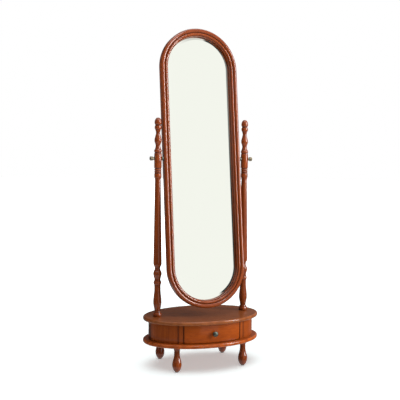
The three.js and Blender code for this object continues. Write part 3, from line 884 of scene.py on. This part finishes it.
def post_outline(bottom, pivot):
    """A turned post. The lower turnings are measured up from its foot and the upper ones from the
    pivot, so that the plain tapered shaft between them takes up the rest."""
    low = measured_from(bottom)
    high = measured_from(pivot)

    # Foot ring, vase, long neck, two rings, small vase and cup.
    outline = Outline(low(0, 0), low(18.5, 0))
    outline.curve(low(20.5, 6), low(20.3, 13), low(17.5, 19))
    outline.line(low(15.5, 19.4), low(15.5, 21.5))
    outline.curve(low(13.6, 29), low(17.5, 52), low(19.3, 67), low(18.6, 84), steps=8)
    outline.curve(low(16.2, 108), low(14.6, 131), low(15.0, 148), steps=8)
    outline.line(low(15.0, 151), low(16.2, 151.6))
    outline.curve(low(18.3, 158), low(18.2, 163), low(16.4, 168))
    outline.line(low(14.8, 168.6), low(14.6, 172))
    outline.curve(low(14.6, 179), low(18.4, 193), low(20, 203), low(18.4, 213))
    outline.line(low(16.6, 214.5))
    outline.curve(low(12.9, 226), low(15.2, 236), low(18.6, 243), low(19.8, 252))

    # Tapered shaft, collar with three grooves, and the plain block that the pivot passes through.
    outline.line(low(19.8, 258))
    outline.line(low(19.4, 275), high(13.8, -98))
    outline.curve(high(14.2, -92), high(16, -87), high(16.4, -85))
    for groove in (-67, -57, -47):
        outline.line(high(16.4, groove - 3.4))
        outline.curve(high(15.4, groove - 2.6), high(14.4, groove), high(15.4, groove + 2.6))
        outline.line(high(16.4, groove + 3.4))
    outline.line(high(17.1, -41), high(17.3, -40), high(17.3, 21.4), high(16.9, 22))

    # Ring, vase, neck, disc and the onion of the finial.
    outline.curve(high(15.4, 26), high(15.4, 28.4))
    outline.line(high(16.2, 29))
    outline.curve(high(17.5, 33), high(17.3, 38), high(14.8, 43))
    outline.line(high(13.8, 43.6))
    outline.curve(high(10.8, 58), high(12.6, 68), high(16.2, 80), high(16.2, 89), steps=8)
    outline.curve(high(11.4, 108), high(9.4, 119), high(12.6, 134), steps=8)
    outline.line(high(13.8, 134.6))
    outline.curve(high(15.5, 140), high(15.6, 146), high(14, 151))
    outline.line(high(12.8, 151.6), high(12.8, 156))
    outline.curve(high(15.8, 162), high(15.9, 170), high(13.6, 179), high(8.2, 186.5), steps=8)
    outline.curve(high(4.4, 188.5), high(0, 189))
    return outline


class MIRROR_OT_posts(bpy.types.Operator):
    """Makes the two turned posts"""

    bl_idname = "mirror.posts"
    bl_label = "Posts"
    bl_options = {"REGISTER", "UNDO"}

    def execute(self, context):
        for seed, (side, _) in enumerate(SIDES):
            node = f"post_{side}"
            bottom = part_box(node)[0].z
            bm = turned(post_outline(bottom, PIVOT.z), (middle(node).x, 0, 0))
            made(bm, node + "_turned", cherry(), "base", node, ("Z", 20 + seed))
            carried_over(f"post_bolt_{side}", steel())
        return {"FINISHED"}


# ---------- pivots ----------


def clamp_knob_outline(stem):
    """A clamp knob with three fine grooves round its rim, on a stud as long as the stem."""
    tip = measured_from(0)
    at = measured_from(stem)
    outline = Outline(tip(0, 0), tip(2.2, 0), tip(3, 0.8), at(3, 0), at(6.6, 0))
    outline.curve(at(7.2, 0.5), at(7.1, 1.6), at(6.1, 2.8))
    outline.line(at(6, 4.6))
    outline.curve(at(6.6, 5.8), at(8.6, 6.6), at(9.6, 7.6), at(9.7, 8.8))
    for groove in (10, 12.4, 14.8):
        outline.line(at(9.75, groove), at(9.2, groove + 0.4), at(9.75, groove + 0.8))
    outline.curve(at(9.7, 17), at(8.6, 18.7), at(5.2, 19.7), at(0, 20))
    return outline


def washer_outline(radius, thick):
    """A washer or a spacer round the stud."""
    bore = 3.3 * MM
    edge = 0.4 * MM
    rim = radius - edge
    outline = Outline((bore, 0), (rim, 0), (radius, edge))
    outline.line((radius, thick - edge), (rim, thick), (bore, thick))
    return outline


def pivot_span(node):
    """Where a piece that lies along the pivots begins, its length and its radius."""
    low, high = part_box(node)
    return min(abs(low.x), abs(high.x)), high.x - low.x, (high.z - low.z) / 2


def on_pivot(bm, near, sign):
    """Lays a turned piece along a pivot, with its base at a distance from the middle."""
    return moved(bm, Matrix.Translation((sign * near, 0, PIVOT.z)) @ lie_along((sign, 0, 0)))


class MIRROR_OT_pivots(bpy.types.Operator):
    """Makes the clamp knobs with their studs, and the washers and spacers on them"""

    bl_idname = "mirror.pivots"
    bl_label = "Pivots"
    bl_options = {"REGISTER", "UNDO"}

    def execute(self, context):
        head = 20 * MM  # the knob without its stud
        for side, sign in SIDES:
            knob = f"pivot_knob_{side}"
            near, reach, _ = pivot_span(knob)
            bm = turned(clamp_knob_outline(reach - head), steps=SMALL_STEPS, reach=2 * MM)
            on_pivot(bm, near, sign)
            made(bm, f"clamp_knob_{side}", bronze(), f"{side}_knob", knob)
            rings = ((f"pivot_washer_{side}", f"{side}_washer"), (f"pivot_spacer_{side}", "base"))
            for node, body in rings:
                near, thick, radius = pivot_span(node)
                bm = turned(washer_outline(radius, thick), steps=SMALL_STEPS, closed=True)
                on_pivot(bm, near, sign)
                made(bm, node + "_turned", dark_bronze(), body, node)
            carried_over(f"pivot_insert_{side}", brass())
        return {"FINISHED"}


# ---------- mirror ----------


def frame_width(sizes):
    """Width of the moulding, from its outer edge to the edge of the lip."""
    return 2 * (sizes.outer_bead + sizes.inner_bead) + sizes.quirk + sizes.lip


def glass_radius(sizes):
    """Radius of the glass and of the packing behind it, clear of the rebate."""
    return FRAME_RADIUS - frame_width(sizes) + sizes.rebate - 2 * GAP


def moulding(sizes):
    """Section of the frame, as the distance in from its outer edge against depth. It is drawn from
    the back, round the outer edge and over the two beads to the lip and the steps behind it."""
    width = frame_width(sizes)
    rebate = width - sizes.rebate
    step = rebate - sizes.backing_step
    back = sizes.frame_back
    corner = sizes.back_round
    outline = Outline((step, back))
    outline.arc((corner, back - corner), corner, -90, 0, 5)
    outline.arc((sizes.outer_bead, -sizes.outer_bead_set), sizes.outer_bead, 0, 155, 18)
    middle_of_inner = 2 * sizes.outer_bead + sizes.quirk + sizes.inner_bead
    outline.arc((middle_of_inner, -sizes.inner_bead_set), sizes.inner_bead, 14, 171, 14)
    lip = width - sizes.lip
    eased = sizes.eased
    outline.line((lip + 0.7 * MM, -sizes.lip_set), (width - 2 * eased, -sizes.lip_set))
    outline.arc((width - eased, -sizes.lip_set + eased), eased, 90, 180, 3)
    seat = sizes.glass_front - GAP
    outline.line((width, seat), (rebate, seat), (rebate, sizes.backing_seat))
    outline.line((step, sizes.backing_seat))
    return outline


def section_face(bm, sizes, sign, z):
    """The frame's section as a flat face lying across one side of the mirror."""

    def across(point):
        return Vector((sign * (FRAME_RADIUS - point.x), point.y, z))

    face = bm.faces.new(outline_verts(bm, moulding(sizes), across, reach=4 * MM))
    return [face, *face.edges, *face.verts]


class MIRROR_OT_moulding(bpy.types.Operator):
    """Makes the frame's two straight sides and two arches"""

    bl_idname = "mirror.moulding"
    bl_label = "Mirror frame"
    bl_options = {"REGISTER", "UNDO"}

    def execute(self, context):
        sizes = context.scene.mirror_sizes
        joint = GAP / 2
        for side, sign in SIDES:
            bm = bmesh.new()
            section_face(bm, sizes, sign, -HALF_STRAIGHT + joint)
            bm = moved(thickened(bm, (0, 0, 2 * (HALF_STRAIGHT - joint))), HANG)
            node = f"frame_side_{side}"
            grain = ("Z", 30 + sign)
            made(bm, node + "_moulding", cherry(), "mirror", node, grain, sharp=24)
        for seed, (end, sign) in enumerate((("top", 1), ("bottom", -1))):
            bm = bmesh.new()
            centre = Vector((0, 0, sign * HALF_STRAIGHT))
            geom = section_face(bm, sizes, 1, centre.z)
            bmesh.ops.spin(
                bm,
                geom=geom,
                cent=centre,
                axis=(0, 1, 0),
                angle=-sign * math.pi,
                steps=ARCH_STEPS,
                use_merge=False,
            )
            bmesh.ops.recalc_face_normals(bm, faces=bm.faces)
            bm = moved(bm, HANG)
            node = f"frame_arch_{end}"
            about = Vector((0, 0, MIRROR_MIDDLE)) + centre
            grain = (FRAME_RADIUS, 33 + seed, about)
            made(bm, node + "_moulding", cherry(), "mirror", node, grain, sharp=24)
        return {"FINISHED"}


class MIRROR_OT_glass(bpy.types.Operator):
    """Makes the bevelled mirror glass"""

    bl_idname = "mirror.glass"
    bl_label = "Glass"
    bl_options = {"REGISTER", "UNDO"}

    def execute(self, context):
        sizes = context.scene.mirror_sizes
        edge = glass_radius(sizes)
        flat = FRAME_RADIUS - frame_width(sizes) - sizes.bevel
        bm = stadium(edge, sizes.glass_front + sizes.glass)
        drawn = bmesh.ops.extrude_face_region(bm, geom=bm.faces[:])["geom"]
        verts = [part for part in drawn if isinstance(part, bmesh.types.BMVert)]
        bmesh.ops.translate(bm, verts=verts, vec=(0, -sizes.glass_edge, 0))
        face = [part for part in drawn if isinstance(part, bmesh.types.BMFace)]
        rise = sizes.glass - sizes.glass_edge
        bmesh.ops.recalc_face_normals(bm, faces=bm.faces)
        bmesh.ops.inset_region(
            bm, faces=face, thickness=edge - flat, depth=rise, use_even_offset=True
        )
        bm = moved(bm, HANG)
        material = silvered_glass()
        made(bm, "bevelled_glass", material, "mirror", "mirror_glass", sharp=2)
        return {"FINISHED"}


def screw_outline():
    """A countersunk wood screw with its point down, its thread, and its head at height zero."""
    at = measured_from(0)
    outline = Outline(at(0, -15), at(0.88, -13))
    for turn in range(7):
        ridge = -12 + turn * 1.4
        outline.line(at(1.6, ridge), at(1.152, ridge + 0.7))
    outline.line(at(1.6, -2.8), at(3.4, -0.3), at(3.6, 0), at(0, 0))
    return outline


def screw_hole_outline():
    """The hole for such a screw, with its countersink open at the top."""
    at = measured_from(0)
    outline = Outline(at(0, -9), at(1.9, -9), at(1.9, -2.9), at(3.9, 0))
    outline.line(at(4.4, 1), at(0, 1))
    return outline


def packing_sheet(sizes):
    """The board that fills the space between the glass and the plywood."""
    front = sizes.glass_front + sizes.glass + GAP
    thick = 4 * MM
    bm = moved(thickened(stadium(glass_radius(sizes), front), (0, thick, 0)), HANG)
    made(bm, "packing_sheet", packing_board(), "mirror", "glass_packing")


def plywood_back(sizes):
    """The plywood back, still without its screw holes."""
    front = sizes.backing_seat + GAP
    thick = sizes.frame_back - front
    bm = stadium(glass_radius(sizes) + sizes.backing_step, front)
    thickened(bm, (0, thick, 0))
    ease(bm, sizes.eased, 2, edges=rim_edges(bm))
    bm = moved(flat_margin(bm), HANG)
    return made(bm, "plywood_back", plywood(), "mirror", "backing_board")


def backing_screw(name, place, turn):
    """A screw with its slot cut at a turn about its own axis."""
    bm = moved(turned(screw_outline(), steps=SMALL_STEPS), place)
    screw = made(bm, name + "_countersunk", steel(), "mirror", name)
    slot = bmesh.new()
    bmesh.ops.create_cube(slot, size=1)
    bmesh.ops.scale(slot, verts=slot.verts, vec=SLOT_CUTTER)
    cut_away(screw, moved(slot, place @ Matrix.Rotation(turn, 4, "Z")))


def join_in(bm, other):
    """Adds another bmesh to a bmesh."""
    mesh = bpy.data.meshes.new("joined")
    other.to_mesh(mesh)
    other.free()
    bm.from_mesh(mesh)
    bpy.data.meshes.remove(mesh)


class MIRROR_OT_backing(bpy.types.Operator):
    """Makes the packing behind the glass, the plywood back and its screws"""

    bl_idname = "mirror.backing"
    bl_label = "Back"
    bl_options = {"REGISTER", "UNDO"}

    def execute(self, context):
        sizes = context.scene.mirror_sizes
        packing_sheet(sizes)
        back = plywood_back(sizes)
        sunk = 0.5 * MM  # the screws' heads below the plywood's face
        holes = bmesh.new()
        for number in range(1, 9):
            name = f"backing_screw_{number}"
            at = UPRIGHT @ middle(name)
            spot = Vector((at.x, sizes.frame_back - sunk, at.z))
            place = UPRIGHT.inverted() @ Matrix.Translation(spot) @ lie_along((0, 1, 0))
            backing_screw(name, place, turn=at.z * 5)
            join_in(holes, moved(turned(screw_hole_outline(), steps=SMALL_STEPS), place))
        cut_away(back, holes)
        lay_grain(back, "Z", 40)
        return {"FINISHED"}


# ---------- drawer ----------


class MIRROR_OT_drawer_front(bpy.types.Operator):
    """Makes the bowed drawer front"""

    bl_idname = "mirror.drawer_front"
    bl_label = "Drawer front"
    bl_options = {"REGISTER", "UNDO"}

    def execute(self, context):
        sizes = context.scene.mirror_sizes
        low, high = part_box("drawer_front")
        bm = oval_wall(sizes.drawer_wall, low.x, high.x, -1, low.z, high.z)
        ease(bm, sizes.eased, 3)
        glaze_joints(bm, low.x, high.x)
        material = drawer_cherry()
        made(bm, "bowed_front", material, "drawer", "drawer_front", ("X", 44))
        return {"FINISHED"}


class MIRROR_OT_drawer_box(bpy.types.Operator):
    """Makes the sides, back and bottom of the drawer"""

    bl_idname = "mirror.drawer_box"
    bl_label = "Drawer box"
    bl_options = {"REGISTER", "UNDO"}

    def execute(self, context):
        sizes = context.scene.mirror_sizes
        parts = (
            ("drawer_side_left", bare_wood, "bare_wood", "Y"),
            ("drawer_side_right", bare_wood, "bare_wood", "Y"),
            ("drawer_back", bare_wood, "bare_wood", "X"),
            ("drawer_bottom", plywood, "plywood", "X"),
        )
        for seed, (node, material, slot, along) in enumerate(parts):
            bm = eased_copy(node, sizes.eased)
            made(bm, node + "_board", material(), "drawer", node, (along, 50 + seed))
        return {"FINISHED"}


def drawer_knob_outline():
    """A mushroom knob on a round rose."""
    at = measured_from(0)
    outline = Outline(at(0, 0), at(8.0, 0), at(8.2, 0.5))
    outline.curve(at(8.1, 1.4), at(7.2, 2.2))
    outline.line(at(6.6, 2.3))
    outline.curve(at(5.3, 4.4), at(5.2, 7), at(6.8, 9.2), at(9.8, 10.6))
    outline.line(at(10.4, 10.8))
    outline.curve(at(12.4, 12.6), at(12.8, 14.8), at(11.9, 17.4), at(9.9, 19.2))
    outline.line(at(9.5, 19.0), at(8.9, 19.6))
    outline.curve(at(6.2, 21.9), at(3, 22.8), at(0, 23))
    return outline


class MIRROR_OT_drawer_pull(bpy.types.Operator):
    """Makes the drawer knob and the screw that holds it"""

    bl_idname = "mirror.drawer_pull"
    bl_label = "Drawer knob"
    bl_options = {"REGISTER", "UNDO"}

    def execute(self, context):
        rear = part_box("drawer_knob")[1].y
        centre = middle("drawer_knob")
        place = Matrix.Translation((centre.x, rear, centre.z)) @ lie_along((0, -1, 0))
        bm = moved(turned(drawer_knob_outline(), steps=PULL_STEPS, reach=3 * MM), place)
        made(bm, "drawer_pull", dark_bronze(), "drawer", "drawer_knob")
        carried_over("drawer_knob_screw", steel())
        return {"FINISHED"}


# ---------- studio ----------


def band(value, low, high, soft):
    return value.step(low - soft, low + soft) * (1 - value.step(high - soft, high + soft))


def studio_world(studio):
    """A white room for the camera. Everything else sees a dim studio with a white wall in front and
    a lit ceiling, and fainter light from the sides, from behind and from the floor."""
    world = bpy.data.worlds.new("studio")
    shader = Shader(world)
    direction = shader.node("TexCoord", {}, {}, out="Generated")
    parts = shader.node("SeparateXYZ", {}, {0: direction}).socket.node.outputs
    x, y, z = [Wire(shader, socket) for socket in parts]

    # Both angles are in degrees: the heading to the right of the front, and the height above level.
    heading = shader.maths("ARCTAN2", x, 0 - y) * math.degrees(1)
    height = shader.maths("ARCSINE", z) * math.degrees(1)
    turned_away = shader.maths("ABSOLUTE", heading)

    wall = band(heading, 2, 29.3, soft=1.2) * band(height, -14, 34, soft=3.5)
    beside_wall = band(heading, 30, 40, soft=2) * band(height, 13, 25, soft=4)
    ceiling = height.step(48, 66)
    behind = turned_away.step(110, 150) * band(height, 4, 34, soft=4)
    low_behind = turned_away.step(95, 125) * band(height, -40, 3, soft=4)
    sides = band(heading, -95, -8, soft=8) + band(heading, 66, 150, soft=8)
    floor = (0 - height).step(20, 34)
    light = studio.room + wall * (studio.wall - studio.room) + ceiling * studio.ceiling
    light = light + behind * 0.05 + low_behind * 0.18 + beside_wall * 0.2
    light = light + sides * height.step(4, 14) * 0.35 + floor * 0.8

    seen = shader.node("LightPath", {}, {}, out="Is Camera Ray")
    room = shader.node("Background", {}, {"Color": (1, 1, 1), "Strength": light})
    plain = shader.node("Background", {}, {"Color": (1, 1, 1), "Strength": 1.0})
    both = shader.node("MixShader", {}, {0: seen, 1: room, 2: plain})
    shader.node("OutputWorld", {}, {"Surface": both})
    bpy.context.scene.world = world


def softbox(name, heading, height, distance, size, power):
    """A rectangular softbox that points at the middle of the mirror, unseen by the camera. It
    stands at a heading to the right of the front and a height above level, in degrees."""
    light = bpy.data.lights.new(name, "AREA")
    light.shape = "RECTANGLE"
    light.size, light.size_y = size
    light.energy = power
    lamp = bpy.data.objects.new(name, light)
    turn = math.radians(heading)
    rise = math.radians(height)
    level = Vector((math.sin(turn), -math.cos(turn), 0))
    away = level * math.cos(rise) + Vector((0, 0, math.sin(rise)))
    lamp.location = Vector((0, 0, 0.8)) + away * distance
    lamp.rotation_mode = "QUATERNION"
    lamp.rotation_quaternion = away.to_track_quat("Z", "Y")
    lamp.visible_camera = False
    bpy.context.scene.collection.objects.link(lamp)
    return lamp


def white_paper():
    """The floor's paper. It glows more with distance, so that it meets the white room unseen."""
    paper = bpy.data.materials.new("white_paper")
    shader = Shader(paper)
    place = shader.place()
    tone = shader.noise(place, 3, detail=2.0)
    # A little cyan, to take out the red of the light that the wood bounces onto the paper.
    white = shader.mix(tone, (0.80, 0.89, 0.89), (0.83, 0.92, 0.92))
    # The glow is painted light: it also lightens the paper near the mirror and the shadow under the
    # base.
    glow = shader.mix(shader.distance(place).step(0.9, 4.0), (0.40, 0.40, 0.40), (1.2, 1.2, 1.2))
    shader.surface(
        Base_Color=white,
        Roughness=0.9,
        Specular_IOR_Level=0.0,
        Emission_Color=glow,
        Emission_Strength=1.0,
    )
    return paper


def studio_floor():
    """A wide sheet of white paper."""
    bm = bmesh.new()
    bmesh.ops.create_circle(bm, cap_ends=True, radius=30, segments=96)
    mesh = bpy.data.meshes.new("floor")
    bm.to_mesh(mesh)
    bm.free()
    mesh.materials.append(white_paper())
    floor = bpy.data.objects.new("floor", mesh)
    bpy.context.scene.collection.objects.link(floor)
    floor.visible_glossy = False
    return floor


def light_only(pieces, lamps):
    """Keeps the light of the lamps on the pieces."""
    lit = bpy.data.collections.new("lit_by_softboxes")
    for piece in pieces:
        lit.objects.link(piece)
    for lamp in lamps:
        lamp.light_linking.receiver_collection = lit


def studio_camera(studio):
    """The camera, as a photographer turns it: to its heading, down by its pitch, then rolled."""
    heading, pitch, roll = studio.camera_turn
    lens = bpy.data.cameras.new("camera")
    lens.lens = studio.lens
    lens.sensor_width = 36
    lens.clip_end = 100
    camera = bpy.data.objects.new("camera", lens)
    turn = Matrix.Rotation(-heading, 4, "Z") @ Matrix.Rotation(math.pi / 2 - pitch, 4, "X")
    turn = turn @ Matrix.Rotation(roll, 4, "Z")
    camera.matrix_world = Matrix.Translation(studio.camera_place) @ turn
    bpy.context.scene.collection.objects.link(camera)
    bpy.context.scene.camera = camera


class MIRROR_OT_studio(bpy.types.Operator):
    """Makes the floor, the lights and the camera"""

    bl_idname = "mirror.studio"
    bl_label = "Studio"
    bl_options = {"REGISTER", "UNDO"}

    def execute(self, context):
        studio = context.scene.mirror_studio
        studio_world(studio)
        pieces = [piece for piece in bpy.data.objects if piece.type == "MESH"]
        key = softbox(
            "key", heading=51, height=17, distance=4.6, size=(1.4, 3.3), power=studio.key_power
        )
        top = softbox(
            "top", heading=4, height=56, distance=3.4, size=(0.8, 0.7), power=studio.top_power
        )
        light_only(pieces, (key, top))
        studio_floor()
        studio_camera(studio)
        context.scene.view_settings.view_transform = "Standard"
        return {"FINISHED"}


class MIRROR_PT_panel(bpy.types.Panel):
    """Lists the pieces in the order in which they are made"""

    bl_label = "Cheval Mirror"
    bl_space_type = "VIEW_3D"
    bl_region_type = "UI"
    bl_category = "Cheval Mirror"

    def draw(self, context):
        for step in STEPS:
            self.layout.operator(step.bl_idname)
        for name in GROUPS:
            group = getattr(context.scene, name)
            box = self.layout.box()
            for field in group.bl_rna.properties.keys():
                if field not in ("rna_type", "name"):
                    box.prop(group, field)


STEPS = (
    MIRROR_OT_boards,
    MIRROR_OT_case,
    MIRROR_OT_rails,
    MIRROR_OT_feet,
    MIRROR_OT_posts,
    MIRROR_OT_pivots,
    MIRROR_OT_moulding,
    MIRROR_OT_glass,
    MIRROR_OT_backing,
    MIRROR_OT_drawer_front,
    MIRROR_OT_drawer_box,
    MIRROR_OT_drawer_pull,
    MIRROR_OT_studio,
)
GROUPS = {
    "mirror_sizes": MirrorSizes,
    "mirror_finishes": MirrorFinishes,
    "mirror_studio": MirrorStudio,
}


def register():
    for cls in (*GROUPS.values(), *STEPS, MIRROR_PT_panel):
        bpy.utils.register_class(cls)
    for name, group in GROUPS.items():
        setattr(bpy.types.Scene, name, bpy.props.PointerProperty(type=group))


def unregister():
    for name in GROUPS:
        delattr(bpy.types.Scene, name)
    for cls in reversed((*GROUPS.values(), *STEPS, MIRROR_PT_panel)):
        bpy.utils.unregister_class(cls)


def main():
    register()
    bpy.ops.mirror.boards()
    bpy.ops.mirror.case()
    bpy.ops.mirror.rails()
    bpy.ops.mirror.feet()
    bpy.ops.mirror.posts()
    bpy.ops.mirror.pivots()
    bpy.ops.mirror.moulding()
    bpy.ops.mirror.glass()
    bpy.ops.mirror.backing()
    bpy.ops.mirror.drawer_front()
    bpy.ops.mirror.drawer_box()
    bpy.ops.mirror.drawer_pull()
    bpy.ops.mirror.studio()


if __name__ == "__main__":
    main()
